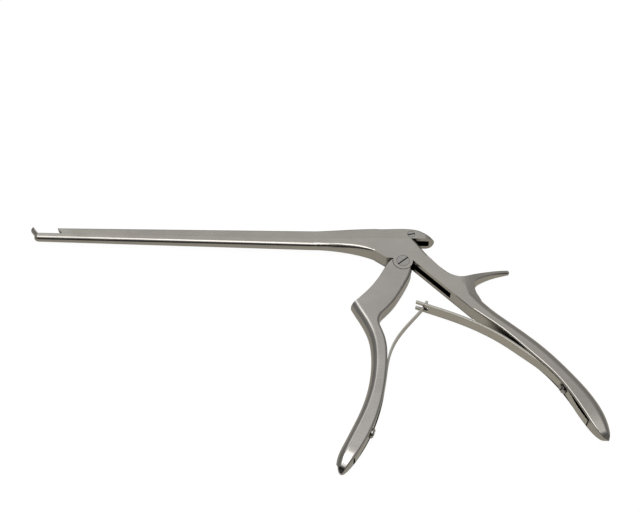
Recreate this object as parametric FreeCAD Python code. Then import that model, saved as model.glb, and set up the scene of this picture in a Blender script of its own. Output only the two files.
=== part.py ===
import FreeCAD, Part
import math
import os
from FreeCAD import Vector

# Bone rongeur lying on its side, sizes in millimetres.
# X runs along the shaft towards the tail, Y from the handles towards the shaft, Z up through the thickness.
# The origin is on the axis of the handle pivot, in the plane that the instrument rests on.

# Body and handles
body_thickness = 9.0
handle_back_round = 4.0
body_edge_round = 1.2
front_face_round = 0.8
front_upper_round = 0.8
front_lower_round = 3.8
rear_side_round = 1.2
lug_radius = 5.0
lug_front_height = 1.5
parting_height = 14.0
body_rear_corner = 5.4

# Shaft
shaft_reach = 188.6
tip_half_width = 2.1
neck_half_width = 2.75
neck_start = 46.0
flare_end = 14.0
lower_tip_depth = 3.7
lower_neck_depth = 4.7
lower_root_depth = 8.5
lower_flare_power = 2.4
upper_tip_height = 3.5
upper_neck_height = 4.9
upper_root_height = 6.1
upper_flare_power = 0.8
flare_steps = 5
top_edge_round = 1.2
shaft_underside_round = 1.95
body_underside_round = 0.4
slide_gap = 0.03
join_step = 0.02

# Footplate and cutting face
cutting_angle = 40.0
foot_length = 5.7
foot_wall = 0.75
trough_rim = 0.5
trough_start = 0.25
bite_opening = 12.5
closed_gap = 0.1
cup_depth = 1.6
cup_floor_radius = 0.6
cup_place = 0.55

# T-slot, guide key and its pin
slot_neck_width = 1.7
slot_neck_depth = 0.8
slot_head_width = 2.6
slot_head_depth = 0.9
slot_front_land = 0.8
slot_end = -5.8
guide_gap = 0.06
key_start = 148.5
key_length = 14.0
key_rise = 2.2
key_pin_radius = 0.8
key_pin_height = 1.35
rear_rail_start = 40.0
rear_rail_length = 18.0

# Pivot, tongue and fork
tongue_thickness = 4.2
tongue_gap = 0.15
hub_radius = 4.3
shoulder_gap = 0.3
pivot_shank_radius = 2.5
pivot_head_radius = 3.3
pivot_head_height = 1.3
pivot_slot_angle = 41.0
running_gap = 0.05
seat_gap = 0.02
head_gap = 0.05
screw_recess = 0.35
drive_x = 4.4
drive_rise = 2.7
drive_shank_radius = 1.4
drive_head_radius = 1.9
drive_head_height = 0.9
drive_slot_angle = 12.0
flat_head_chamfer = 0.15
fork_gap = 0.3
fork_prong_width = 1.8
fork_overreach = 1.6
fork_root = 3.0
fork_corner = 1.1
fork_bed_drop = 0.1
lever_waist = 2.6
waist_reach = 8.0
swing_gap = 0.4

# Tail of the sliding shaft
tail_end = 16.4
tail_roof = 0.9
tail_slot_front = -0.8
tail_slot_end = 13.7
tail_slot_step = 0.9
tail_slot_bend = 6.9
tail_slot_slope = 4.1
tail_corner = 2.2

# Slot in the front face of the rear handle
handle_slot_start = 1.6
handle_slot_end = 29.4
handle_slot_depth = 4.0
handle_front_offset = 3.84
face_angle = 45.6

# Leaf springs and their screws
rear_leaf_width = 7.0
rear_leaf_thickness = 1.1
front_leaf_thickness = 0.9
front_leaf_root_width = 6.0
front_leaf_neck_width = 2.4
channel_gap = 0.15
fork_slot_width = 2.9
fork_slot_length = 6.8
rear_channel_start = 48.0
front_channel_start = -46.0
leaf_end_gap = 1.2
cross_bar_radius = 0.75
cross_bar_length = 5.8
screw_head_radius = 2.45
screw_head_height = 1.3
screw_shank_radius = 1.4
screw_shank_length = 5.0
head_chamfer = 0.45
driver_slot_width = 0.7
driver_slot_depth = 0.6
leaf_taper_start = 46.0
leaf_taper_end = 74.0
hole_lead = 3.0

# Cutting tools and closing edges reach this far past the metal
clear_reach = 150.0
side_reach = 60.0

# Centre lines and outlines, each from the pivot
rear_leaf_line = [(6.3, -23.5), (12, -25.6), (26, -30.8), (39.7, -37.3), (50, -43.9), (57.8, -50),
                  (66, -56.7), (73, -64.2), (78.7, -73), (82.4, -79.2), (86.2, -86.8)]
front_leaf_line = [(11.5, -23.6), (8.6, -27.6), (-3.2, -43.8), (-6.2, -50.7), (-7.8, -58), (-8.7, -65),
                   (-9.8, -72.2), (-13, -85.6), (-15.2, -92.6), (-19.6, -102.3), (-23.9, -110)]
body_back_line = [(9.8, 7.9), (18.1, -2), (24.5, -7.4), (30.5, -11.6)]
rear_back_line = [(26, -8), (30.5, -11.8), (40.8, -23.3), (56.1, -36.8), (71, -50.6), (80.5, -61.8),
                  (88.6, -73.1), (93.4, -82.6), (98, -100)]
rear_front_line = [(95, -108), (78.2, -73.4), (72.5, -64.7), (61, -52), (46, -37.4), (35, -28.7), (26, -20.2)]
rear_end = (91.8, -92.3, 4.4, -69)
underside_line = [(-8.5, 1.8), (-10.4, 3.1)]
front_upper_line = [(-4.6, 2.2), (-8.8, -3.2), (-10.7, -7), (-28, -28.6), (-33, -33.4)]
front_lower_line = [(-29.6, -16), (-25.4, -27.8), (-20, -37.4), (-17.1, -44.9), (-15.8, -54.8), (-19.5, -80.8),
                    (-24.1, -92.3), (-34.8, -116.8)]
rear_side_line = [(-31.5, -124), (-24.3, -111.2), (-19.1, -102.5), (-9.3, -72.1), (-8.3, -62), (-10.2, -41.5),
                  (-12, -35.4), (-6.2, -26), (-0.8, -17.3), (4.2, -5.6)]
front_end = (-28, -112.8, 3.95, -115)
spur_top_line = [(12, 4.4), (18.1, -2.3), (24.4, -7.2), (29.8, -8.35), (35, -6.8), (46.7, -3.3), (52.6, -2.2)]
spur_under_line = [(53.3, -4.2), (48.1, -5.2), (39.8, -8.2), (37.1, -10.1), (36.2, -16.4), (38.4, -20.8),
                   (39.6, -25)]
spur_tip = (54, -3.3)
spur_inner_corners = [(33, -23), (12, -2)]
spur_side_line = [(20, 0), (29, 0), (33, 0.25), (37, 0.95), (53, 3.3), (56, 3.8)]
spur_edge_chamfer = 0.5
tail_top_line = [(-14, 0), (-4, 0.25), (4.4, 0.25), (8.2, -0.5), (11.8, -2.4), (15.7, -5), (18.4, -7.8)]
tongue_root = [(2, -8), (-7.5, -8), (-7.6, -3)]
rear_screw_place = (76.0, -68.7)
front_screw_place = (-16.1, -94.8)

middle = body_thickness / 2
up = Vector(0, 0, 1)
slot_depth = slot_neck_depth + slot_head_depth
tongue_slot = tongue_thickness + 2 * tongue_gap
drive_height = parting_height + drive_rise
drive_angle = math.degrees(math.atan2(drive_x, drive_height))
drive_reach = math.hypot(drive_x, drive_height)
shaft_travel = bite_opening - closed_gap
swing = drive_angle + math.degrees(math.atan2(shaft_travel - drive_x, drive_height))
slant = math.tan(math.radians(cutting_angle))


def point(p, z=0.0):
    return Vector(p[0], p[1], z)


def line(a, b):
    return Part.makeLine(point(a), point(b))


def tangents(points):
    curve = Part.BSplineCurve()
    curve.interpolate([point(p) for p in points])
    return [curve.tangent(curve.parameter(point(p)))[0] for p in points]


def bent(a, tangent, b):
    """Arc from a to b that leaves a along the tangent."""
    chord = b - a
    normal = Vector(-tangent.y, tangent.x, 0)
    off = normal.dot(chord)
    if abs(off) < 1e-4:
        return Part.makeLine(a, b)
    centre = a + normal * (chord.dot(chord) / (2 * off))
    half_way = (a + b) * 0.5 - centre
    through = centre + half_way.normalize() * (a - centre).Length
    return Part.Arc(a, through, b).toShape()


def arcs(points):
    """Chain of tangent arcs through the points, two for each span."""
    ways = tangents(points)
    chain = []
    for p, q, start, end in zip(points, points[1:], ways, ways[1:]):
        a, b = point(p), point(q)
        chord = b - a
        both = start + end
        turn = 2 * (1 - start.dot(end))
        along_both = chord.dot(both)
        if turn < 1e-9:
            reach = chord.dot(chord) / (2 * along_both)
        else:
            reach = (math.sqrt(along_both ** 2 + turn * chord.dot(chord)) - along_both) / turn
        meet = ((a + start * reach) + (b - end * reach)) * 0.5
        way = (meet - a).normalize() * (2 * start.dot((meet - a).normalize())) - start
        chain += [bent(a, start, meet), bent(meet, way, b)]
    return chain


def arc(a, through, b):
    return Part.Arc(point(a), point(through), point(b)).toShape()


def polar(radius, angle):
    return (radius * math.cos(math.radians(angle)), radius * math.sin(math.radians(angle)))


def plate(edges, z0, z1):
    face = Part.Face(Part.Wire(edges))
    face.translate(Vector(0, 0, z0))
    return face.extrude(Vector(0, 0, z1 - z0))


def polygon(points, z0, z1):
    return plate([line(a, b) for a, b in zip(points, points[1:] + points[:1])], z0, z1)


def rounded(solid, radius, wanted):
    edges = [e for e in solid.Edges if wanted(e)]
    return solid.makeFillet(radius, edges)


def on_face_edge(edge):
    z = [v.Z for v in edge.Vertexes]
    return max(z) - min(z) < 1e-6 and (abs(z[0]) < 1e-6 or abs(z[0] - body_thickness) < 1e-6)


def along(edge, outline):
    """True where an edge's middle lies over an outline drawn at z = 0."""
    middle_point = edge.valueAt((edge.FirstParameter + edge.LastParameter) / 2)
    return outline.distToShape(Part.Vertex(Vector(middle_point.x, middle_point.y, 0)))[0] < 0.02


def cross_section(x, half_width, foot, depth, corner, sign):
    """Shaft section at x: flat at the parting plane, sides, and two round corners at the far side."""
    corner = min(corner, half_width - 0.04, depth - 0.04)
    end = foot + sign * depth
    bend = end - sign * corner
    flat = half_width - corner
    turn = corner * math.sqrt(0.5)

    def at(z, y):
        return Vector(x, y, middle + z)

    return Part.Wire([
        Part.makeLine(at(-half_width, foot), at(-half_width, bend)),
        Part.Arc(at(-half_width, bend), at(-flat - turn, bend + sign * turn), at(-flat, end)).toShape(),
        Part.makeLine(at(-flat, end), at(flat, end)),
        Part.Arc(at(flat, end), at(flat + turn, bend + sign * turn), at(half_width, bend)).toShape(),
        Part.makeLine(at(half_width, bend), at(half_width, foot)),
        Part.makeLine(at(half_width, foot), at(-half_width, foot)),
    ])


def ease(t):
    return t * t * (3 - 2 * t)


def half_width_at(x):
    if x <= -neck_start:
        share = (x + shaft_reach) / (shaft_reach - neck_start)
        return tip_half_width + share * (neck_half_width - tip_half_width)
    share = (x + neck_start) / (neck_start - flare_end)
    return neck_half_width + ease(share) * (middle - neck_half_width)


def depth_at(x, tip, neck, root, power):
    if x <= -neck_start:
        return tip + (x + shaft_reach) / (shaft_reach - neck_start) * (neck - tip)
    share = (x + neck_start) / (neck_start - flare_end)
    return neck + share ** power * (root - neck)


def shaft_loft(start, foot, tip, neck, root, power, neck_corner, root_corner, sign):
    """Shaft from start to the end of the flare, straight at first and then widening into the body."""

    def across(x):
        depth = -sign * depth_at(x, tip, neck, root, power)
        return min(0, depth), max(0, depth), middle - half_width_at(x), middle + half_width_at(x)

    def section(step):
        x = -neck_start + (neck_start - flare_end) * step / flare_steps
        corner = neck_corner + (root_corner - neck_corner) * step / flare_steps
        depth = depth_at(x, tip, neck, root, power) - join_step
        return cross_section(x, half_width_at(x) - join_step, foot, depth, corner, sign)

    y0, y1, z0, z1 = across(start)
    y2, y3, z2, z3 = across(-neck_start)
    straight = Part.makeWedge(y0, 0, z0, z2, y2, y1, -neck_start - start, z1, z3, y3)
    straight.rotate(Vector(0, 0, 0), up, -90)
    straight.translate(Vector(start, foot, 0))

    def far_edge(edge):
        return edge.BoundBox.XLength > 1 and sign * (edge.CenterOfMass.y - foot) > 1

    straight = rounded(straight, neck_corner, far_edge)
    return straight.fuse(Part.makeLoft([section(step) for step in range(flare_steps + 1)], True, False))


def box_between(x0, x1, y0, y1, z0, z1):
    return Part.makeBox(x1 - x0, y1 - y0, z1 - z0, Vector(x0, y0, z0))


def t_profile(x0, x1, gap, rise):
    """T-shaped bar under the parting plane, smaller than the slot by the gap, with its stem risen above."""
    neck = slot_neck_width / 2 - gap
    head = slot_head_width / 2 - gap
    stem = box_between(x0, x1, parting_height - slot_depth + gap, parting_height + rise, middle - neck, middle + neck)
    bar = box_between(x0, x1, parting_height - slot_depth + gap, parting_height - slot_neck_depth - gap,
                      middle - head, middle + head)
    return stem.fuse(bar)


def offset_line(points, distance):
    """Points moved sideways, to the left of the line's direction."""
    curve = Part.BSplineCurve()
    curve.interpolate([point(p) for p in points])
    moved = []
    for p in points:
        tangent = curve.tangent(curve.parameter(point(p)))[0]
        moved.append((p[0] - tangent.y * distance, p[1] + tangent.x * distance))
    return moved


def ribbon(points, left, right, z0, z1):
    """Strip that follows a line, from its left offset to its right one."""
    one = offset_line(points, left)
    other = offset_line(points, -right)[::-1]
    return plate(arcs(one) + [line(one[-1], other[0])] + arcs(other) + [line(other[-1], one[0])], z0, z1)


def line_direction(points, place):
    curve = Part.BSplineCurve()
    curve.interpolate([point(p) for p in points])
    where = curve.parameter(point(place))
    return curve.value(where), curve.tangent(where)[0]


def tongue_point(side, reach, lean):
    """Point of the tongue, sideways and outwards from the pivot, with the tongue leaning towards the tail."""
    s = math.sin(math.radians(lean))
    c = math.cos(math.radians(lean))
    return (side * c + reach * s, reach * c - side * s)


def footplate():
    """Half-round plate that leans forward, with a coaxial scoop and a rounded end."""
    corner = Vector(-shaft_reach, parting_height, middle)
    lean = Vector(-math.sin(math.radians(cutting_angle)), math.cos(math.radians(cutting_angle)), 0)
    straight = foot_length - tip_half_width
    start = corner - lean * tip_half_width
    rod = Part.makeCylinder(tip_half_width, straight + tip_half_width, start, lean)
    ball = Part.makeSphere(tip_half_width, corner + lean * straight)
    outward = Vector(-lean.y, lean.x, 0)
    keep = box_between(-side_reach, side_reach, 0, side_reach, -side_reach, side_reach)
    keep.rotate(Vector(0, 0, 0), up, math.degrees(math.atan2(-outward.x, outward.y)))
    keep.translate(corner)
    half = rod.fuse(ball).common(keep)
    inner = tip_half_width - foot_wall
    reach = foot_length - trough_rim - inner
    trough = Part.makeCylinder(inner, reach - trough_start, corner + lean * trough_start, lean)
    trough = trough.fuse(Part.makeSphere(inner, corner + lean * reach))
    # The bend under the corner carries the shaft's round underside into the plate.
    bend_centre = Vector(-shaft_reach, parting_height - lower_tip_depth + tip_half_width, middle)
    bend = Part.makeSphere(tip_half_width, bend_centre)
    post = Part.makeCylinder(tip_half_width, lower_tip_depth - tip_half_width, bend_centre, Vector(0, 1, 0))
    bite = polygon([
        (-shaft_reach, parting_height), (-shaft_reach + side_reach, parting_height),
        (-shaft_reach + side_reach, parting_height + side_reach),
        (-shaft_reach - slant * side_reach, parting_height + side_reach),
    ], 0, body_thickness)
    return half.fuse(bend).fuse(post).cut(bite), trough


def side_plate(side, beyond, radius):
    """Plate with one smooth, rounded side; its other sides are straight and lie beyond the real outline."""
    corners = [side[-1]] + beyond + [side[0]]
    edges = arcs(side) + [line(a, b) for a, b in zip(corners, corners[1:])]
    solid = plate(edges, 0, body_thickness)
    outline = Part.Wire(arcs(side))
    return rounded(solid, radius, lambda e: on_face_edge(e) and along(e, outline))


def domed(solid, end):
    """Rounds a handle's end, in outline and through its thickness; end is x, y, radius and direction."""
    x, y, radius, angle = end
    disc = Part.makeCylinder(radius, body_thickness)
    roll = Part.makeCylinder(middle, 2 * clear_reach, Vector(0, -clear_reach, middle), Vector(0, 1, 0))
    waste = box_between(0, clear_reach, -clear_reach, clear_reach, 0, body_thickness).cut(disc.common(roll))
    waste.rotate(Vector(0, 0, 0), up, angle)
    waste.translate(Vector(x, y, 0))
    return solid.cut(waste)


def body_plate():
    """Body with the pivot lug and the root of the rear handle."""
    root = (-flare_end, parting_height)
    root_low = (-flare_end, parting_height - lower_root_depth)
    corner = (body_rear_corner, parting_height)
    face = polar(1, face_angle)
    side = math.sqrt(lug_radius ** 2 - handle_front_offset ** 2)
    lug_rear = (handle_front_offset * face[0] + side * face[1], handle_front_offset * face[1] - side * face[0])
    lug_front = (-math.sqrt(lug_radius ** 2 - lug_front_height ** 2), lug_front_height)
    back = [corner] + body_back_line
    under = underside_line + [root_low]
    inner_end = rear_front_line[-2]
    edges = [line(root, corner)] + arcs(back) + [
        line(back[-1], inner_end),
        line(inner_end, lug_rear),
        arc(lug_rear, polar(lug_radius, -90), lug_front),
        line(lug_front, under[0]),
    ] + arcs(under) + [line(root_low, root)]
    solid = plate(edges, 0, body_thickness)
    outline = Part.Wire(arcs(back))
    return rounded(solid, body_edge_round, lambda e: on_face_edge(e) and along(e, outline))


def rear_handle():
    """Rear handle below the spur, round along its back and nearly flat in front."""
    first, last = rear_back_line[0], rear_front_line[0]
    back = side_plate(rear_back_line, [(0, -clear_reach), (0, first[1])], handle_back_round)
    front = side_plate(rear_front_line, [(rear_front_line[-1][0], side_reach), (clear_reach, side_reach),
                                         (clear_reach, last[1])], front_face_round)
    return domed(back.common(front), rear_end)


def spur():
    """Tapering horn on the back of the rear handle, as thick as the body at its root, with its edges broken."""
    rim = arcs(spur_top_line) + [arc(spur_top_line[-1], spur_tip, spur_under_line[0])] + arcs(spur_under_line)
    corners = [spur_under_line[-1]] + spur_inner_corners + [spur_top_line[0]]
    horn = plate(rim + [line(a, b) for a, b in zip(corners, corners[1:])], 0, body_thickness)
    low = spur_side_line
    high = [(x, body_thickness - z) for x, z in low[::-1]]
    side = Part.Face(Part.Wire(arcs(low) + [line(low[-1], high[0])] + arcs(high) + [line(high[-1], low[0])]))
    side = side.extrude(Vector(0, 0, 2 * clear_reach))
    side.translate(Vector(0, 0, -clear_reach))
    side.rotate(Vector(0, 0, 0), Vector(1, 0, 0), 90)
    horn = horn.common(side.fuse(box_between(0, low[0][0], -clear_reach, clear_reach, 0, body_thickness)))
    outline = Part.Wire(rim)

    def on_rim(edge):
        box = edge.BoundBox
        return box.XLength + box.YLength > 0.02 and along(edge, outline)

    return horn.makeChamfer(spur_edge_chamfer, [e for e in horn.Edges if on_rim(e)])


def leaf_z(width):
    return middle - width / 2, middle + width / 2


def frame_slots():
    """What is milled out of body and rear handle: T-slot, tongue slot and the slot in the handle's face."""
    z0, z1 = leaf_z(tongue_slot)
    t_slot = t_profile(-shaft_reach + slot_front_land, slot_end, 0, 1)
    half = drive_shank_radius + fork_gap + fork_prong_width + swing_gap
    rest, squeezed = drive_angle, drive_angle - swing
    face = Vector(*polar(1, face_angle), 0)
    down = Vector(face.y, -face.x, 0)
    deep = handle_front_offset + handle_slot_depth
    end = face * deep + down * handle_slot_end
    corner = face * deep + down * handle_slot_start
    outer = end - face * (handle_slot_depth + 8)
    lever = [
        tongue_point(half, drive_reach + 4, rest),
        tongue_point(half, drive_reach - fork_root, rest),
        tongue_point(lever_waist + swing_gap, waist_reach, rest),
        (corner.x, corner.y), (end.x, end.y), (outer.x, outer.y),
        tongue_point(-hub_radius - 1.5, -12, rest),
        tongue_point(-lever_waist - swing_gap - 0.6, 5, squeezed),
        tongue_point(-half, drive_reach - fork_root, squeezed),
        tongue_point(-half, drive_reach + 4, squeezed),
    ]
    hub_room = Part.makeCylinder(hub_radius + shoulder_gap, z1 - z0, Vector(0, 0, z0))
    return [t_slot, polygon(lever, z0, z1).fuse(hub_room)]


def screw_hole(points, place, radius, depth, side):
    """Cylinder from a leaf's line into the handle; side is 1 where the handle is left of the line."""
    where, tangent = line_direction(points, place)
    inward = Vector(-tangent.y, tangent.x, 0) * side
    return Part.makeCylinder(radius, depth + hole_lead, Vector(where.x, where.y, middle) - inward * hole_lead, inward)


def frame_with_rear_handle():
    shaft = shaft_loft(-shaft_reach, parting_height, lower_tip_depth, lower_neck_depth, lower_root_depth,
                       lower_flare_power, shaft_underside_round, body_underside_round, -1)
    foot, trough = footplate()
    solid = body_plate().fuse([rear_handle(), shaft, foot, spur()])
    for tool in frame_slots() + [trough]:
        solid = solid.cut(tool)
    solid = solid.cut(Part.makeCylinder(pivot_shank_radius + seat_gap, body_thickness, Vector(0, 0, screw_recess)))
    solid = solid.cut(Part.makeCylinder(pivot_head_radius + seat_gap, pivot_head_height + 1,
                                        Vector(0, 0, body_thickness - pivot_head_height)))
    z0, z1 = leaf_z(rear_leaf_width + 2 * channel_gap)
    floor = rear_leaf_thickness / 2 + seat_gap
    channel = ribbon(rear_leaf_line, floor, 4, z0, z1)
    solid = solid.cut(channel.common(box_between(rear_channel_start, clear_reach, -clear_reach, 0,
                                                 0, body_thickness)))
    solid = solid.cut(screw_hole(rear_leaf_line, rear_screw_place, screw_shank_radius + seat_gap,
                                 floor + screw_shank_length + seat_gap, 1))
    return solid


def front_face_cut(x_at_parting, z_reach):
    """Everything in front of a plane that leans like the footplate, through x at the parting plane."""
    low, high = parting_height - side_reach, parting_height + side_reach
    lean = slant * side_reach
    return polygon([
        (x_at_parting + lean, low), (x_at_parting - lean, high),
        (x_at_parting - lean - side_reach, high), (x_at_parting - lean - side_reach, low),
    ], -z_reach, body_thickness + z_reach)


def tail_form():
    """Tail of the sliding shaft with its rounded, falling top."""
    top = parting_height + upper_root_height
    side = [(x, top + rise) for x, rise in tail_top_line]
    whole = side_plate(side, [(side[-1][0], 0), (side[0][0], 0)], top_edge_round)
    foot = parting_height + slide_gap
    keep = box_between(-flare_end, tail_end, foot, top + 1, 0, body_thickness)
    for z in (tail_corner, body_thickness - tail_corner):
        far = 0 if z < middle else body_thickness
        square = box_between(tail_end - tail_corner, tail_end, foot, top + 1, min(z, far), max(z, far))
        post = Part.makeCylinder(tail_corner, top + 1 - foot, Vector(tail_end - tail_corner, foot, z), Vector(0, 1, 0))
        keep = keep.cut(square.cut(post))
    return whole.common(keep)


def tail_slot():
    """Slot in the underside of the tail, in which the fork swings."""
    z0, z1 = leaf_z(tongue_slot)
    low = parting_height - 1
    roof = parting_height + upper_root_height - tail_roof
    return polygon([(tail_slot_front, low), (tail_slot_end, low),
                    (tail_slot_end, parting_height + tail_slot_step),
                    (tail_slot_end - tail_slot_slope, roof - tail_slot_step),
                    (tail_slot_end - tail_slot_bend, roof), (tail_slot_front, roof)], z0, z1)


def upper_body():
    """Outer form of the sliding shaft, before slots and holes."""
    foot = parting_height + slide_gap
    root_height = upper_root_height - slide_gap
    loft = shaft_loft(-shaft_reach, foot, upper_tip_height, upper_neck_height, root_height,
                      upper_flare_power, top_edge_round, top_edge_round, 1)
    return loft.fuse(tail_form())


def upper_shaft():
    front = -shaft_reach + bite_opening
    solid = upper_body().cut(front_face_cut(front, 1))
    rail = t_profile(-rear_rail_start, -rear_rail_start + rear_rail_length, guide_gap, 1)
    solid = solid.fuse(rail)
    lean = Vector(-math.sin(math.radians(cutting_angle)), math.cos(math.radians(cutting_angle)), 0)
    normal = Vector(lean.y, -lean.x, 0)
    face_middle = Vector(front, parting_height, middle) + lean * (upper_tip_height * cup_place)
    solid = solid.cut(Part.makeCone(tip_half_width - foot_wall, cup_floor_radius, cup_depth, face_middle, normal))
    solid = solid.cut(tail_slot())
    neck = slot_neck_width / 2
    solid = solid.cut(box_between(-key_start - seat_gap, -key_start + key_length + seat_gap, parting_height - 1,
                                  parting_height + key_rise + seat_gap, middle - neck - seat_gap + guide_gap,
                                  middle + neck + seat_gap - guide_gap))
    solid = solid.cut(key_pin_rod(seat_gap))
    solid = solid.cut(Part.makeCylinder(drive_shank_radius + seat_gap, body_thickness,
                                        Vector(drive_x, drive_height, screw_recess)))
    solid = solid.cut(Part.makeCylinder(drive_head_radius + seat_gap, drive_head_height + 1,
                                        Vector(drive_x, drive_height, body_thickness - drive_head_height)))
    return solid.removeSplitter()


def key_pin_rod(gap):
    place = Vector(-key_start + key_length / 2, parting_height + key_pin_height, 0)
    return Part.makeCylinder(key_pin_radius + gap, body_thickness, place)


def guide_key():
    key = t_profile(-key_start, -key_start + key_length, guide_gap, key_rise)
    return key.cut(key_pin_rod(seat_gap))


def guide_pin():
    return key_pin_rod(0).common(upper_body())


def tongue():
    """Hub, lever and fork of the front handle, thinner than the handle."""
    z0, z1 = leaf_z(tongue_thickness)
    notch = drive_shank_radius + fork_gap
    side = notch + fork_prong_width
    top = drive_reach + fork_overreach
    bed_height = drive_height - fork_bed_drop

    def at(u, v):
        return tongue_point(u, v, drive_angle)

    lever = polygon([
        at(-lever_waist, 0), at(-lever_waist, waist_reach), at(-side, drive_reach - fork_root),
        at(-side, top - fork_corner), at(-side + fork_corner, top), at(side - fork_corner, top),
        at(side, top - fork_corner), at(side, drive_reach - fork_root), at(lever_waist, waist_reach),
        at(lever_waist, 0),
    ], z0, z1)
    root = polygon([polar(hub_radius, 175), polar(hub_radius, -30)] + tongue_root, z0, z1)
    hub = Part.makeCylinder(hub_radius, z1 - z0, Vector(0, 0, z0))
    mouth = polygon([at(-notch, bed_height), at(-notch, top + 1), at(notch, top + 1), at(notch, bed_height)],
                    z0, z1)
    bed = Part.makeCylinder(notch, z1 - z0, Vector(*at(0, bed_height), z0))
    return lever.fuse([root, hub]).cut(mouth.fuse(bed))


def front_plate():
    """Front handle's grip: crisp above its finger corner, round below it, and rounded apart at the rear."""
    upper_top, upper_foot = front_upper_line[0][1], front_upper_line[-1][1]
    lower_start, lower_foot = front_lower_line[0], front_lower_line[-1][1]
    rear_foot = rear_side_line[0][1]
    upper = side_plate(front_upper_line, [(side_reach, upper_foot), (side_reach, upper_top)], front_upper_round)
    upper = upper.fuse(box_between(-clear_reach, side_reach, -clear_reach, upper_foot, 0, body_thickness))
    lower = side_plate(front_lower_line, [(side_reach, lower_foot), (side_reach, lower_start[1])], front_lower_round)
    lower = lower.fuse(box_between(lower_start[0], side_reach, lower_start[1], side_reach, 0, body_thickness))
    rear = side_plate(rear_side_line, [(-1, 0.9), (-side_reach, 0.9), (-side_reach, rear_foot)], rear_side_round)
    return domed(upper.common(lower).common(rear), front_end)


def front_handle():
    solid = front_plate().cut(Part.makeCylinder(lug_radius + shoulder_gap, body_thickness))
    solid = solid.fuse(tongue())
    solid = solid.cut(Part.makeCylinder(pivot_shank_radius + running_gap, body_thickness))
    z0, z1 = leaf_z(front_leaf_root_width + 2 * channel_gap)
    floor = front_leaf_thickness / 2 + seat_gap
    channel = ribbon(front_leaf_line, 4, floor, z0, z1)
    solid = solid.cut(channel.common(box_between(-side_reach, side_reach, -clear_reach, front_channel_start,
                                                 0, body_thickness)))
    solid = solid.cut(screw_hole(front_leaf_line, front_screw_place, screw_shank_radius + seat_gap,
                                 floor + screw_shank_length + seat_gap, -1))
    return solid.removeSplitter()


def driver_slot(radius, angle, top):
    blade = Part.makeBox(3 * radius, driver_slot_width, driver_slot_depth + 1,
                         Vector(-1.5 * radius, -driver_slot_width / 2, top - driver_slot_depth))
    blade.rotate(Vector(0, 0, 0), up, angle)
    return blade


def flat_screw(place, shank, head, head_height, foot, angle):
    """Screw with a flush slotted head at the upper face."""
    body = Part.makeCylinder(shank, body_thickness - foot, Vector(0, 0, foot))
    cap = Part.makeCylinder(head, head_height, Vector(0, 0, body_thickness - head_height))
    cap = cap.makeChamfer(flat_head_chamfer, [e for e in cap.Edges if e.BoundBox.ZMin > body_thickness - 0.1])
    screw = body.fuse(cap).cut(driver_slot(head, angle, body_thickness))
    screw.translate(Vector(place[0], place[1], 0))
    return screw


def pivot_screw():
    return flat_screw((0, 0), pivot_shank_radius, pivot_head_radius, pivot_head_height, screw_recess, pivot_slot_angle)


def drive_screw():
    return flat_screw((drive_x, drive_height), drive_shank_radius, drive_head_radius, drive_head_height,
                      screw_recess, drive_slot_angle)


def leaf_screw(points, place, thickness, side):
    """Round-headed screw that holds a leaf in its channel."""
    where, tangent = line_direction(points, place)
    outward = Vector(tangent.y, -tangent.x, 0) * side
    shank = Part.makeCylinder(screw_shank_radius, screw_shank_length + thickness,
                              Vector(0, 0, -screw_shank_length - thickness))
    head = Part.makeCylinder(screw_head_radius, screw_head_height)
    rim = [e for e in head.Edges if e.BoundBox.ZMin > screw_head_height - 0.01]
    head = head.makeChamfer(head_chamfer, rim)
    screw = shank.fuse(head).cut(driver_slot(screw_head_radius, 25, screw_head_height))
    seat = Vector(where.x, where.y, middle) + outward * (thickness / 2 + head_gap)
    screw.Placement = FreeCAD.Placement(seat, FreeCAD.Rotation(Vector(0, 0, 1), outward))
    return screw


def leaf_ribbon(points, thickness, width):
    """Leaf along its line, ending a little short of the channel's end."""
    z0, z1 = leaf_z(width)
    leaf = ribbon(points, thickness / 2, thickness / 2, z0, z1)
    where, tangent = line_direction(points, points[-1])
    side = Vector(-tangent.y, tangent.x, 0) * 3
    start = where - tangent * leaf_end_gap
    corners = [start - side, start - side + tangent * 3, start + side + tangent * 3, start + side]
    return leaf.cut(polygon([(c.x, c.y) for c in corners], 0, body_thickness))


def rear_leaf_spring():
    leaf = leaf_ribbon(rear_leaf_line, rear_leaf_thickness, rear_leaf_width)
    tip, next_point = rear_leaf_line[0], rear_leaf_line[1]
    direction = Vector(next_point[0] - tip[0], next_point[1] - tip[1], 0).normalize()
    start = Vector(tip[0], tip[1], middle) - direction * 2
    slot = Part.makeBox(fork_slot_length + 2 - fork_slot_width / 2, 6, fork_slot_width,
                        Vector(0, -3, -fork_slot_width / 2))
    round_end = Part.makeCylinder(fork_slot_width / 2, 6, Vector(fork_slot_length + 2 - fork_slot_width / 2, -3, 0),
                                  Vector(0, 1, 0))
    cutter = slot.fuse(round_end)
    cutter.rotate(Vector(0, 0, 0), up, math.degrees(math.atan2(direction.y, direction.x)))
    cutter.translate(start)
    leaf = leaf.cut(cutter)
    return leaf.cut(screw_hole(rear_leaf_line, rear_screw_place, screw_shank_radius + running_gap, hole_lead, 1))


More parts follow.
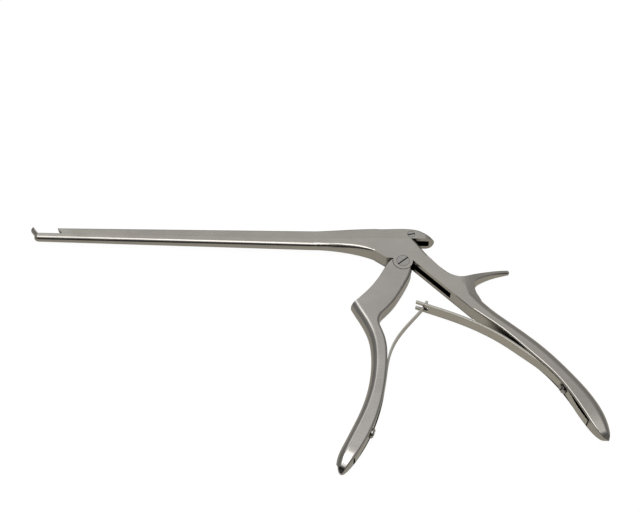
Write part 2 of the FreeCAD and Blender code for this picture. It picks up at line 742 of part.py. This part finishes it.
def front_leaf_spring():
    root, neck = front_leaf_root_width / 2, front_leaf_neck_width / 2
    leaf = leaf_ribbon(front_leaf_line, front_leaf_thickness, front_leaf_root_width)
    half = [(0, neck), (-leaf_taper_start, neck), (-leaf_taper_end, root), (-clear_reach, root)]
    around = half + [(y, -z) for y, z in half[::-1]] + half[:1]
    taper = Part.Face(Part.makePolygon([Vector(-clear_reach, y, middle + z) for y, z in around]))
    leaf = leaf.common(taper.extrude(Vector(2 * clear_reach, 0, 0)))
    top = front_leaf_line[0]
    bar = Part.makeCylinder(cross_bar_radius, cross_bar_length, Vector(top[0], top[1], middle - cross_bar_length / 2))
    leaf = leaf.fuse(bar)
    return leaf.cut(screw_hole(front_leaf_line, front_screw_place, screw_shank_radius + running_gap, hole_lead, -1))


def export(name, shape):
    solids = shape.Solids
    if len(solids) != 1 or not shape.isValid():
        print("check", name, "solids", len(solids), "valid", shape.isValid())
    solids[0].exportStep("parts/" + name + ".step")
    print(name, round(solids[0].Volume, 1), [round(v, 2) for v in (
        shape.BoundBox.XMin, shape.BoundBox.XMax, shape.BoundBox.YMin, shape.BoundBox.YMax,
        shape.BoundBox.ZMin, shape.BoundBox.ZMax)])


def main():
    os.makedirs("parts", exist_ok=True)
    export("frame_with_rear_handle", frame_with_rear_handle())
    export("upper_shaft", upper_shaft())
    export("front_handle", front_handle())
    export("pivot_screw", pivot_screw())
    export("drive_screw", drive_screw())
    export("guide_key", guide_key())
    export("guide_pin", guide_pin())
    export("rear_leaf_spring", rear_leaf_spring())
    export("front_leaf_spring", front_leaf_spring())
    export("rear_spring_screw", leaf_screw(rear_leaf_line, rear_screw_place, rear_leaf_thickness, 1))
    export("front_spring_screw", leaf_screw(front_leaf_line, front_screw_place, front_leaf_thickness, -1))


main()
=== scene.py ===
import math

import bmesh
import bpy
import numpy as np
from mathutils import Matrix, Vector
from mathutils.interpolate import poly_3d_calc


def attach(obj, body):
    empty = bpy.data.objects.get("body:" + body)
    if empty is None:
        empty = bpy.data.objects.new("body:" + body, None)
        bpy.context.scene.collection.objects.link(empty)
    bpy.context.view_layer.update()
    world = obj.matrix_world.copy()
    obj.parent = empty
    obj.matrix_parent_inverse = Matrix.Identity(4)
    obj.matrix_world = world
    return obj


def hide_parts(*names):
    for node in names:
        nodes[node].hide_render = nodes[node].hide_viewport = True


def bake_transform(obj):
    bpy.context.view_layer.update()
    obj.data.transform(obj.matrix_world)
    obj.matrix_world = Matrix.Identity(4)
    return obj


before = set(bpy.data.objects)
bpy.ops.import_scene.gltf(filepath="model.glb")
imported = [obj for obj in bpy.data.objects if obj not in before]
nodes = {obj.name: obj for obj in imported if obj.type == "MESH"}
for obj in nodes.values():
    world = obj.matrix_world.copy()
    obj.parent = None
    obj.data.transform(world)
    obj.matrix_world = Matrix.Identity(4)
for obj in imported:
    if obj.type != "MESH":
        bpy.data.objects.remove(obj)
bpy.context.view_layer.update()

# The scene is in metres. Lengths in mm are multiplied by MM.
MM = 0.001
# Height of the instrument's middle plane above the table, in mm.
MIDDLE = 4.5


# Node helpers

def new_material(name):
    material = bpy.data.materials.new(name)
    material.use_nodes = True
    tree = material.node_tree
    tree.nodes.clear()
    return material, tree


def add(tree, kind, **values):
    node = tree.nodes.new(kind)
    for key, value in values.items():
        setattr(node, key, value)
    return node


def link(tree, source, target):
    tree.links.new(source, target)


def feed(tree, value, socket):
    """Gives a socket a number or another socket's output."""
    if isinstance(value, (int, float)):
        socket.default_value = value
    else:
        link(tree, value, socket)


def math_node(tree, operation, a, b=None):
    node = add(tree, "ShaderNodeMath", operation=operation)
    feed(tree, a, node.inputs[0])
    if b is not None:
        feed(tree, b, node.inputs[1])
    return node.outputs[0]


def remap(tree, value, low, high, to_low, to_high):
    node = add(tree, "ShaderNodeMapRange")
    link(tree, value, node.inputs["Value"])
    node.inputs["From Min"].default_value = low
    node.inputs["From Max"].default_value = high
    node.inputs["To Min"].default_value = to_low
    node.inputs["To Max"].default_value = to_high
    return node.outputs["Result"]


def mixed(tree, share, a, b):
    node = add(tree, "ShaderNodeMix", data_type="FLOAT")
    feed(tree, share, node.inputs["Factor"])
    feed(tree, a, node.inputs["A"])
    feed(tree, b, node.inputs["B"])
    return node.outputs["Result"]


def mixed_shader(tree, share, a, b):
    node = add(tree, "ShaderNodeMixShader")
    link(tree, share, node.inputs["Fac"])
    link(tree, a, node.inputs[1])
    link(tree, b, node.inputs[2])
    return node.outputs[0]


def axes_of(tree, vector):
    node = add(tree, "ShaderNodeSeparateXYZ")
    link(tree, vector, node.inputs[0])
    return node.outputs


def noise(tree, place, scale, detail, rough):
    node = add(tree, "ShaderNodeTexNoise")
    link(tree, place, node.inputs["Vector"])
    node.inputs["Scale"].default_value = scale
    node.inputs["Detail"].default_value = detail
    node.inputs["Roughness"].default_value = rough
    return node.outputs["Fac"]


def grey_ramp(tree, value, stops):
    """A ramp through pairs of a position and a level."""
    node = add(tree, "ShaderNodeValToRGB")
    elements = node.color_ramp.elements
    while len(elements) < len(stops):
        elements.new(0.5)
    for element, (position, level) in zip(elements, stops):
        element.position = position
        element.color = (level, level, level, 1)
    link(tree, value, node.inputs["Fac"])
    return node.outputs["Color"]


# Materials

# Noise scales per metre, along the grinding lines and across them.
GRIND_STRETCH = (160, 4200, 4200)
CLOUD_SCALE = 70
MARK_SCALE = 900
# The part of the noise's range that is used, for the lines' gloss and for all else.
LINE_RANGE = (0.35, 0.65)
NOISE_RANGE = (0.3, 0.7)
# Changes of colour, as shares of it, and of roughness.
CLOUD_TONE, LINE_TONE = 0.045, 0.03
CLOUD_GLOSS, LINE_GLOSS = (-0.03, 0.04), 0.02
# Stretch of X in mm in which the frame's grinding lines turn from the shaft's way to the rear handle's.
GRAIN_TURN = (6, 22)
# Painted shade in recesses of the piece itself and in those between pieces: reach in mm, then how open the darkest
# shaded and the unshaded metal are.
PAINTED_RECESS_SHADE = ((True, 8, 0.45, 0.80), (False, 4, 0.35, 0.80))
# Share of the satin's roughness that a polished end keeps.
POLISHED_SHARE = 0.4
# Height of the lines in mm, how strongly they show, and the marks' share in them.
BUMP_HEIGHT, BUMP_STRENGTH, MARK_SHARE = 0.03, 0.04, 0.5


def grinding_lines(tree, place, angle):
    """Noise stretched along an angle about Z."""
    node = add(tree, "ShaderNodeMapping", vector_type="POINT")
    link(tree, place, node.inputs["Vector"])
    node.inputs["Rotation"].default_value = (0, 0, math.radians(-angle))
    node.inputs["Scale"].default_value = GRIND_STRETCH
    return noise(tree, node.outputs["Vector"], scale=1, detail=2, rough=0.5)


def steel(name, colour, rough, grain_angle, grain, painted_shade, second_angle=None, polished=None):
    """Satin stainless steel: fine grinding lines, clouded gloss, small marks and painted shade in recesses.

    grain is the lines' strength, and the argument after it how dark the painted shade in recesses gets. second_angle
    is the lines' angle beyond
    GRAIN_TURN. polished is a place in X and Y and a reach, in mm, round which the satin gives way to a polish."""
    material, tree = new_material(name)
    place = add(tree, "ShaderNodeTexCoord").outputs["Object"]
    lines = grinding_lines(tree, place, grain_angle)
    if second_angle is not None:
        start, end = GRAIN_TURN
        share = remap(tree, axes_of(tree, place)["X"], start * MM, end * MM, 0.0, 1.0)
        lines = mixed(tree, share, lines, grinding_lines(tree, place, second_angle))
    clouds = noise(tree, place, CLOUD_SCALE, detail=4, rough=0.55)
    marks = noise(tree, place, MARK_SCALE, detail=3, rough=0.7)

    shader = add(tree, "ShaderNodeBsdfPrincipled")
    shader.inputs["Metallic"].default_value = 1.0

    tone = math_node(tree, "ADD", remap(tree, clouds, *NOISE_RANGE, -CLOUD_TONE, CLOUD_TONE),
                     remap(tree, lines, *NOISE_RANGE, -LINE_TONE * grain, LINE_TONE * grain))
    # Painted shade: ambient occlusion darkens the base colour in recesses of the piece and between pieces.
    shades = []
    for local, reach, darkest, unshaded in PAINTED_RECESS_SHADE:
        openness = add(tree, "ShaderNodeAmbientOcclusion", samples=16, only_local=local)
        openness.inputs["Distance"].default_value = reach * MM
        shades.append(remap(tree, openness.outputs["AO"], darkest, unshaded, 1.0 - painted_shade, 1.0))
    level = math_node(tree, "MULTIPLY", math_node(tree, "ADD", 1.0, tone), math_node(tree, "MULTIPLY", *shades))
    tint = add(tree, "ShaderNodeVectorMath", operation="SCALE")
    tint.inputs[0].default_value = colour
    link(tree, level, tint.inputs["Scale"])
    link(tree, tint.outputs["Vector"], shader.inputs["Base Color"])

    gloss = math_node(tree, "ADD", remap(tree, clouds, *NOISE_RANGE, rough + CLOUD_GLOSS[0], rough + CLOUD_GLOSS[1]),
                      remap(tree, lines, *LINE_RANGE, -LINE_GLOSS * grain, LINE_GLOSS * grain))
    if polished is not None:
        x, y, reach = polished
        away = add(tree, "ShaderNodeVectorMath", operation="DISTANCE")
        link(tree, place, away.inputs[0])
        away.inputs[1].default_value = (x * MM, y * MM, MIDDLE * MM)
        share = remap(tree, away.outputs["Value"], 0.5 * reach * MM, reach * MM, POLISHED_SHARE, 1.0)
        gloss = math_node(tree, "MULTIPLY", gloss, share)
    link(tree, gloss, shader.inputs["Roughness"])

    bump = add(tree, "ShaderNodeBump")
    bump.inputs["Strength"].default_value = BUMP_STRENGTH * grain
    bump.inputs["Distance"].default_value = BUMP_HEIGHT * MM
    height = math_node(tree, "ADD", lines, math_node(tree, "MULTIPLY", marks, MARK_SHARE))
    link(tree, height, bump.inputs["Height"])
    link(tree, bump.outputs["Normal"], shader.inputs["Normal"])
    output = add(tree, "ShaderNodeOutputMaterial")
    link(tree, shader.outputs[0], output.inputs["Surface"])
    return material


# The value after grain sets how dark the painted shade in recesses gets.
frame_steel = steel("frame_steel", (0.68, 0.645, 0.595), rough=0.17, grain_angle=0, grain=1.0, painted_shade=0.95,
                    second_angle=-47, polished=(93, -95, 16))
shaft_steel = steel("shaft_steel", (0.64, 0.61, 0.56), rough=0.18, grain_angle=0, grain=1.0, painted_shade=0.95)
handle_steel = steel("handle_steel", (0.665, 0.635, 0.595), rough=0.17, grain_angle=75, grain=0.9, painted_shade=0.95,
                     polished=(-29, -115, 15))
screw_steel = steel("screw_steel", (0.62, 0.60, 0.57), rough=0.17, grain_angle=30, grain=0.6, painted_shade=0.95)
spring_steel = steel("spring_steel", (0.77, 0.74, 0.67), rough=0.18, grain_angle=-40, grain=0.7, painted_shade=0.9)

node_materials = {
    "frame_with_rear_handle": frame_steel,
    "upper_shaft": shaft_steel,
    "front_handle": handle_steel,
    "pivot_screw": screw_steel,
    "drive_screw": screw_steel,
    "guide_key": screw_steel,
    "guide_pin": shaft_steel,
    "rear_leaf_spring": spring_steel,
    "front_leaf_spring": spring_steel,
    "rear_spring_screw": screw_steel,
    "front_spring_screw": screw_steel,
}
for node_name, material in node_materials.items():
    data = nodes[node_name].data
    data.materials.clear()
    data.materials.append(material)


# Forms of the forged pieces: ends drawn in to a point, and the body's lower corners rounded more than in CAD

# Planes that cut an end into rows before it is drawn in.
END_SLICES = 16
# Share of the drawn-in length at which the narrowing stops, so that the tip keeps a small blunt face.
LAST_SHARE = 0.985
# Distance in mm to both sides of the tip within which points are moved.
END_REACH = 14
# Step in metres for the slopes of a change of form.
STEP = 1e-6

# The body's lower corners, all in mm, over a stretch of X in which share runs from 0 to 1.
SOFT_START, SOFT_LENGTH = -46, 32
# Y of the lower edge at the start, its fall over the stretch, and the power of share that it falls with.
LOWER_EDGE = (9.3, 3.8, 2.434)
# Half of the body's thickness at the start, and its growth.
HALF_BODY = (2.75, 1.75)
# Corner radius of the CAD solid at the start, and its loss.
CAD_CORNER = (1.95, 1.55)
# Growth of the wanted radius, and the power of share with which it comes back to the CAD radius at the end.
SOFT_GROWTH, SOFT_POWER = 0.2, 8
# Y below which the body's faces are cut into rows, and the places of the cuts in X, Y and Z.
SOFT_TOP = 11.4
SOFT_CUTS = (
    [SOFT_START + SOFT_LENGTH * k / 21 for k in range(22)],
    [5.6 + 0.3 * k for k in range(20)],
    [0.25 + 0.34 * k for k in range(26)],
)


def drawn_in(place, length, lean, sharpness):
    """Where a point of an end lands, given as its distances along, across and up from the tip, in metres."""
    along, side, height = place
    if along <= -length or abs(side) > END_REACH * MM:
        return place
    share = min(1 + along / length, LAST_SHARE)
    narrow = math.sqrt(1 - share ** sharpness[0])
    thin = math.sqrt(1 - share ** sharpness[1])
    middle = lean * share ** 2
    return Vector((along, middle + (side - middle) * narrow, height * thin))


def softened(place):
    """Where a point of the body lands when the body's lower corners are rounded more, as in the photo."""
    share = (place.x / MM - SOFT_START) / SOFT_LENGTH
    if not 0 < share < 1:
        return place
    edge = LOWER_EDGE[0] - LOWER_EDGE[1] * share ** LOWER_EDGE[2]
    half = HALF_BODY[0] + HALF_BODY[1] * (3 - 2 * share) * share ** 2
    sharp = CAD_CORNER[0] - CAD_CORNER[1] * share
    soft = CAD_CORNER[0] + SOFT_GROWTH * share - (CAD_CORNER[1] + SOFT_GROWTH) * share ** SOFT_POWER
    # Distances from the wanted corner's centre towards the lower edge and towards the outer face.
    across = soft - (place.y / MM - edge)
    outward = soft - (half - abs(place.z - MIDDLE * MM) / MM)
    spare = soft - sharp
    if across <= 0 or outward <= 0 or spare <= 0:
        return place
    # The CAD corner, met by the line from the centre through the point, moves onto the wanted radius.
    reach = math.hypot(across, outward)
    cosine, sine = across / reach, outward / reach
    limit = soft / max(cosine, sine)
    if limit * min(cosine, sine) > spare:
        both = spare * (cosine + sine)
        limit = both + math.sqrt(both ** 2 - 2 * spare ** 2 + sharp ** 2)
    scale = soft / limit
    height = half - soft + outward * scale
    return Vector((place.x, (edge + soft - across * scale) * MM,
                   MIDDLE * MM + math.copysign(height * MM, place.z - MIDDLE * MM)))


def sliced(mesh, place, way, wanted=None):
    """Cuts the faces along a plane, all of them or those that are wanted, and keeps both sides."""
    faces = [f for f in mesh.faces if wanted is None or wanted(f)]
    edges = {e for f in faces for e in f.edges}
    verts = {v for f in faces for v in f.verts}
    bmesh.ops.bisect_plane(mesh, geom=list(verts) + list(edges) + faces, dist=1e-7, plane_co=place, plane_no=way)


def at_lower_corners(face):
    low, high = SOFT_START - 0.01, SOFT_START + SOFT_LENGTH + 0.01
    return any(low < v.co.x / MM < high for v in face.verts) and min(v.co.y for v in face.verts) < SOFT_TOP * MM


def carried_normals(mesh, origin, source, moved):
    """Each corner's normal on the source mesh, as a change of form turns it."""
    source_normals = [Vector(corner.vector) for corner in source.corner_normals]
    normals = []
    for face in mesh.faces:
        polygon = source.polygons[face[origin]]
        corners = [source.vertices[v].co for v in polygon.vertices]
        for loop in face.loops:
            place = loop.vert.co
            normal = Vector((0, 0, 0))
            for weight, index in zip(poly_3d_calc(corners, place), polygon.loop_indices):
                normal += source_normals[index] * weight
            # Two directions in the surface, carried along with the form, give the new normal.
            one = normal.orthogonal().normalized()
            two = normal.cross(one).normalized()
            start = moved(place)
            turned = (moved(place + one * STEP) - start).cross(moved(place + two * STEP) - start)
            normals.append(turned.normalized())
    return normals


def pointed(node_name, body, tip, direction, length, lean, sharpness, soft_corners=False):
    """Shows the node by its own form, with one end drawn in to a round point and, if asked, softened() applied.

    Sizes are in mm. lean moves the point sideways; sharpness is the power of the rounding across and up."""
    source = nodes[node_name].data
    mesh = bmesh.new()
    mesh.from_mesh(source)
    origin = mesh.faces.layers.int.new("origin")
    for face in mesh.faces:
        face[origin] = face.index
    length, lean = length * MM, lean * MM
    way = Vector((math.cos(math.radians(direction)), math.sin(math.radians(direction)), 0))
    axes = Matrix((way, Vector((-way.y, way.x, 0)), Vector((0, 0, 1))))
    back = axes.transposed()
    point = Vector((tip[0] * MM, tip[1] * MM, MIDDLE * MM))
    for k in range(END_SLICES):
        behind = length * (1 - math.sin(0.5 * math.pi * k / END_SLICES))
        sliced(mesh, point - way * behind, way)
    if soft_corners:
        for axis, cuts in zip(np.eye(3), SOFT_CUTS):
            across = Vector(axis)
            for cut in cuts:
                sliced(mesh, across * cut * MM, across, at_lower_corners)

    def moved(place):
        if soft_corners:
            place = softened(place)
        return point + back @ drawn_in(axes @ (place - point), length, lean, sharpness)

    normals = carried_normals(mesh, origin, source, moved)
    for vertex, place in [(v, moved(v.co)) for v in mesh.verts]:
        vertex.co = place
    data = bpy.data.meshes.new(node_name + "_form")
    mesh.to_mesh(data)
    mesh.free()
    piece = bpy.data.objects.new(node_name + "_form", data)
    bpy.context.scene.collection.objects.link(piece)
    data.materials.append(node_materials[node_name])
    for polygon in data.polygons:
        polygon.use_smooth = True
    data.normals_split_custom_set(normals)
    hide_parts(node_name)
    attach(piece, body)


pointed("frame_with_rear_handle", "frame", tip=(93.4, -96.4), direction=-69, length=20, lean=1.4,
        sharpness=(3.0, 2.2), soft_corners=True)
pointed("front_handle", "front_lever", tip=(-29.7, -116.4), direction=-115, length=14, lean=0,
        sharpness=(3.0, 2.2))
pointed("upper_shaft", "sliding_shaft", tip=(16.6, 15.4), direction=0, length=5.5, lean=0, sharpness=(4.0, 2.2))


# Leaf springs, in mm

REAR_LINE = [(6.3, -23.5), (12, -25.6), (26, -30.8), (39.7, -37.3), (50, -43.9), (57.8, -50),
             (66, -56.7), (73, -64.2), (78.7, -73), (81.85, -79.55), (86.1, -87.0)]
# The gap is the part of the line that the leaf leaves free at its end.
REAR_THICKNESS, REAR_HALF_WIDTH, REAR_END_GAP, REAR_STEPS = 1.1, 3.5, 0.9, 70
SLOT_LENGTH, SLOT_RADIUS = 6.8, 1.45
# Angles in degrees at which the slot's round end gets a station.
SLOT_END_ANGLES = (35, 60, 80)
# The upper edge's steps down: distance before the end where it starts, its run and its depth.
REAR_EDGE_STEPS = ((48, 22, 1.0), (17, 6, 1.3))

FRONT_LINE = [(11.5, -23.6), (8.6, -27.6), (-3.2, -43.8), (-6.2, -50.7), (-7.8, -58), (-8.7, -65),
              (-9.8, -72.2), (-13, -85.6), (-15.2, -92.6), (-19.6, -102.3), (-23.9, -110)]
FRONT_THICKNESS, FRONT_NECK_HALF, FRONT_END_GAP, FRONT_STEPS = 0.9, 1.5, 1.2, 90
# The half width's growth below the neck: Y where it starts, its run and its size.
FRONT_GROWTH = ((-32, 14, 0.4), (-46, 28, 1.1))
BAR_RADIUS, BAR_LENGTH = 0.75, 5.8


def spline(points):
    """A smooth curve through the points, as a function of the distance along their chords."""
    points = np.array(points, float)
    steps = np.linalg.norm(np.diff(points, axis=0), axis=1)
    t = np.concatenate([[0], np.cumsum(steps)])
    n = len(t)
    system = np.zeros((n, n))
    right = np.zeros((n, 2))
    system[0, 0] = system[-1, -1] = 1
    for i in range(1, n - 1):
        system[i, i - 1] = steps[i - 1]
        system[i, i] = 2 * (steps[i - 1] + steps[i])
        system[i, i + 1] = steps[i]
        right[i] = 6 * ((points[i + 1] - points[i]) / steps[i] - (points[i] - points[i - 1]) / steps[i - 1])
    bend = np.linalg.solve(system, right)

    def at(s):
        i = int(np.clip(np.searchsorted(t, s) - 1, 0, n - 2))
        h, a, b = steps[i], t[i + 1] - s, s - t[i]
        place = ((bend[i] * a ** 3 + bend[i + 1] * b ** 3) / (6 * h) + (points[i] / h - bend[i] * h / 6) * a
                 + (points[i + 1] / h - bend[i + 1] * h / 6) * b)
        slope = ((-bend[i] * a ** 2 + bend[i + 1] * b ** 2) / (2 * h) + (points[i + 1] - points[i]) / h
                 - (bend[i + 1] - bend[i]) * h / 6)
        return place, slope / np.linalg.norm(slope)
    return at, t[-1]


def so_far(distance, run):
    """Share of a run that a distance has covered."""
    return min(max(distance / run, 0), 1)


def strip(mesh, at, stations, thickness, low, high, start_cap=True, end_cap=True):
    """Adds a strip along the curve; low and high give its edges' heights at each station."""
    rows = []
    for s in stations:
        place, along = at(s)
        side = np.array([-along[1], along[0]]) * thickness / 2
        z0, z1 = low(s), high(s)
        rows.append([mesh.verts.new((q[0] * MM, q[1] * MM, z * MM)) for q, z in (
            (place - side, z0), (place + side, z0), (place + side, z1), (place - side, z1))])
    for one, two in zip(rows, rows[1:]):
        for k in range(4):
            mesh.faces.new((one[k], one[(k + 1) % 4], two[(k + 1) % 4], two[k]))
    if start_cap:
        mesh.faces.new(rows[0][::-1])
    if end_cap:
        mesh.faces.new(rows[-1])
    return rows


def finished(mesh, name, bevel):
    """The mesh as an object with its edges broken by a bevel, in mm."""
    bmesh.ops.recalc_face_normals(mesh, faces=mesh.faces)
    data = bpy.data.meshes.new(name)
    mesh.to_mesh(data)
    mesh.free()
    piece = bpy.data.objects.new(name, data)
    bpy.context.scene.collection.objects.link(piece)
    modifier = piece.modifiers.new("edges", "BEVEL")
    modifier.width = bevel * MM
    modifier.segments = 3
    modifier.limit_method = "ANGLE"
    modifier.angle_limit = math.radians(40)
    graph = bpy.context.evaluated_depsgraph_get()
    piece.data = bpy.data.meshes.new_from_object(piece.evaluated_get(graph))
    piece.modifiers.clear()
    for polygon in piece.data.polygons:
        polygon.use_smooth = True
    return piece


def rear_leaf():
    """Rear leaf with a slotted, forked tip."""
    at, length = spline(REAR_LINE)
    end = length - REAR_END_GAP
    mesh = bmesh.new()

    def slot_half(s):
        past = s - (SLOT_LENGTH - SLOT_RADIUS)
        return SLOT_RADIUS if past <= 0 else math.sqrt(max(SLOT_RADIUS ** 2 - past ** 2, 0))

    def lower_edge(s):
        return MIDDLE - REAR_HALF_WIDTH

    def upper_edge(s):
        down = sum(depth * so_far(s - (end - before), run) for before, run, depth in REAR_EDGE_STEPS)
        return MIDDLE + REAR_HALF_WIDTH - down

    # Stations beside the slot: along its straight sides, round its end and at its bottom.
    prong = [SLOT_LENGTH * k / 8 for k in range(7)]
    prong += [SLOT_LENGTH - SLOT_RADIUS * (1 - math.sin(math.radians(a))) for a in SLOT_END_ANGLES]
    prong.append(SLOT_LENGTH)
    strip(mesh, at, prong, REAR_THICKNESS, lower_edge, lambda s: MIDDLE - slot_half(s), end_cap=False)
    strip(mesh, at, prong, REAR_THICKNESS, lambda s: MIDDLE + slot_half(s), upper_edge, end_cap=False)
    rest = [SLOT_LENGTH + (end - SLOT_LENGTH) * k / REAR_STEPS for k in range(REAR_STEPS + 1)]
    first = strip(mesh, at, rest, REAR_THICKNESS, lower_edge, upper_edge, start_cap=False)[0]
    # The two prongs meet the rest halfway up its first row.
    for low, high in ((first[1], first[2]), (first[0], first[3])):
        edge = mesh.edges.get((low, high)) or mesh.edges.get((high, low))
        bmesh.utils.edge_split(edge, low, 0.5)
    bmesh.ops.remove_doubles(mesh, verts=mesh.verts, dist=1e-6)
    return finished(mesh, "rear_leaf", bevel=0.12)


def front_leaf():
    """Front leaf, tapering to a neck that ends in a cross bar."""
    at, length = spline(FRONT_LINE)
    end = length - FRONT_END_GAP

    def half(s):
        y = at(s)[0][1]
        return FRONT_NECK_HALF + sum(size * so_far(start - y, run) for start, run, size in FRONT_GROWTH)

    mesh = bmesh.new()
    stations = [end * k / FRONT_STEPS for k in range(FRONT_STEPS + 1)]
    strip(mesh, at, stations, FRONT_THICKNESS, lambda s: MIDDLE - half(s), lambda s: MIDDLE + half(s))
    bar = bmesh.ops.create_cone(mesh, cap_ends=True, segments=24, radius1=BAR_RADIUS * MM, radius2=BAR_RADIUS * MM,
                                depth=BAR_LENGTH * MM)
    bmesh.ops.translate(mesh, verts=bar["verts"], vec=(FRONT_LINE[0][0] * MM, FRONT_LINE[0][1] * MM, MIDDLE * MM))
    return finished(mesh, "front_leaf", bevel=0.1)


rear = rear_leaf()
rear.data.materials.append(spring_steel)
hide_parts("rear_leaf_spring")
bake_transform(rear)

front = front_leaf()
front.data.materials.append(spring_steel)
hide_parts("front_leaf_spring")
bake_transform(front)


# Floor and surroundings

# Share of the table's look to the camera that glows and so takes no shadow, and the glow's level.
GLOW_SHARE, GLOW_LEVEL = 0.88, 1.1
TABLE_GREY = 0.9
REFLECTED_TABLE = (0.34, 0.325, 0.29)
# Half of the table's width, and its middle, just under the object; in metres.
TABLE_HALF, TABLE_PLACE = 1.6, (-0.03, 0.0, -0.0002)

# Levels of light over the half turn from the horizon at +Y, over the zenith, to the horizon at -Y.
OVERHEAD_STOPS = [(0.0, 0.50), (0.14, 0.40), (0.24, 0.47), (0.34, 0.49), (0.43, 0.95), (0.52, 1.15), (0.60, 0.50),
                  (0.66, 0.18), (0.73, 0.04), (0.93, 0.015), (0.985, 0.15)]
# Levels from -X to +X, half of the factor that they stand for, with a bright stripe on the left.
ACROSS_STOPS = [(0.0, 0.28), (0.27, 0.28), (0.31, 0.95), (0.345, 0.95), (0.37, 0.50), (0.565, 0.50),
                (0.60, 0.33), (0.70, 0.28), (1.0, 0.28)]
ACROSS_FACTOR = 2.0
# Level at both ends of X, and the part of the way there in which it takes over.
ENDS_LEVEL, ENDS_FROM, ENDS_TO = 0.19, 0.48, 0.68


def emission(tree, colour, strength):
    node = add(tree, "ShaderNodeEmission")
    node.inputs["Color"].default_value = (*colour, 1)
    node.inputs["Strength"].default_value = strength
    return node.outputs[0]


def floor_material():
    """White table to the camera, with the object's soft shadow kept; a warm grey in reflections."""
    material, tree = new_material("table")
    path = add(tree, "ShaderNodeLightPath").outputs
    diffuse = add(tree, "ShaderNodeBsdfDiffuse")
    diffuse.inputs["Color"].default_value = (TABLE_GREY, TABLE_GREY, TABLE_GREY, 1)
    glow = emission(tree, (1, 1, 1), GLOW_LEVEL)
    reflected = emission(tree, REFLECTED_TABLE, 1.0)
    lit = mixed_shader(tree, math_node(tree, "MULTIPLY", path["Is Camera Ray"], GLOW_SHARE), diffuse.outputs[0], glow)
    output = add(tree, "ShaderNodeOutputMaterial")
    link(tree, mixed_shader(tree, path["Is Glossy Ray"], lit, reflected), output.inputs["Surface"])
    return material


floor_mesh = bmesh.new()
bmesh.ops.create_grid(floor_mesh, x_segments=4, y_segments=4, size=TABLE_HALF)
floor_data = bpy.data.meshes.new("floor")
floor_mesh.to_mesh(floor_data)
floor_mesh.free()
floor = bpy.data.objects.new("floor", floor_data)
floor.location = TABLE_PLACE
bpy.context.scene.collection.objects.link(floor)
floor.data.materials.append(floor_material())


def background(tree, strength):
    node = add(tree, "ShaderNodeBackground")
    node.inputs["Color"].default_value = (1, 1, 1, 1)
    feed(tree, strength, node.inputs["Strength"])
    return node.outputs[0]


def studio():
    """Studio around the table: soft white overhead, greyer behind, dark on the camera's side near the horizon."""
    world = bpy.data.worlds.new("studio")
    bpy.context.scene.world = world
    world.use_nodes = True
    tree = world.node_tree
    tree.nodes.clear()
    way = axes_of(tree, add(tree, "ShaderNodeTexCoord").outputs["Generated"])
    turn = math_node(tree, "DIVIDE", math_node(tree, "ARCTAN2", way["Z"], way["Y"]), math.pi)
    overhead = grey_ramp(tree, turn, OVERHEAD_STOPS)
    across = grey_ramp(tree, remap(tree, way["X"], -1.0, 1.0, 0.0, 1.0), ACROSS_STOPS)
    level = math_node(tree, "MULTIPLY", overhead, math_node(tree, "MULTIPLY", across, ACROSS_FACTOR))
    share = remap(tree, math_node(tree, "ABSOLUTE", way["X"]), ENDS_FROM, ENDS_TO, 0.0, 1.0)
    light = background(tree, mixed(tree, share, level, ENDS_LEVEL))
    white = background(tree, 1.0)
    seen = add(tree, "ShaderNodeLightPath").outputs["Is Camera Ray"]
    output = add(tree, "ShaderNodeOutputWorld")
    link(tree, mixed_shader(tree, seen, light, white), output.inputs["Surface"])


def lamp(name, place, target, size, power):
    data = bpy.data.lights.new(name, "AREA")
    data.shape = "RECTANGLE"
    data.size, data.size_y = size
    data.energy = power
    thing = bpy.data.objects.new(name, data)
    thing.location = place
    thing.rotation_euler = (Vector(target) - Vector(place)).to_track_quat("-Z", "Y").to_euler()
    bpy.context.scene.collection.objects.link(thing)


studio()
lamp("overhead", place=(-0.1, -0.08, 0.9), target=(-0.05, -0.05, 0), size=(0.9, 0.35), power=0.8)


# Camera

# Angles in degrees above the table and to the right of -Y, focal length and sensor width in mm, place in metres.
CAMERA_ELEVATION, CAMERA_SWING = 55, 1.6
CAMERA_LENS, CAMERA_SENSOR = 67.5, 36
CAMERA_PLACE = (-0.0324, -0.3482, 0.5088)


def camera():
    tilt, swing = math.radians(CAMERA_ELEVATION), math.radians(CAMERA_SWING)
    back = Vector((math.sin(swing) * math.cos(tilt), -math.cos(swing) * math.cos(tilt), math.sin(tilt)))
    right = Vector((math.cos(swing), math.sin(swing), 0))
    up = back.cross(right)
    data = bpy.data.cameras.new("camera")
    data.sensor_fit = "HORIZONTAL"
    data.sensor_width = CAMERA_SENSOR
    data.lens = CAMERA_LENS
    data.clip_start = 0.01
    thing = bpy.data.objects.new("camera", data)
    bpy.context.scene.collection.objects.link(thing)
    place = Matrix((right, up, back)).transposed().to_4x4()
    place.translation = Vector(CAMERA_PLACE)
    thing.matrix_world = place
    bpy.context.scene.camera = thing


camera()
bpy.context.scene.view_settings.view_transform = "Standard"

bpy.context.view_layer.update()
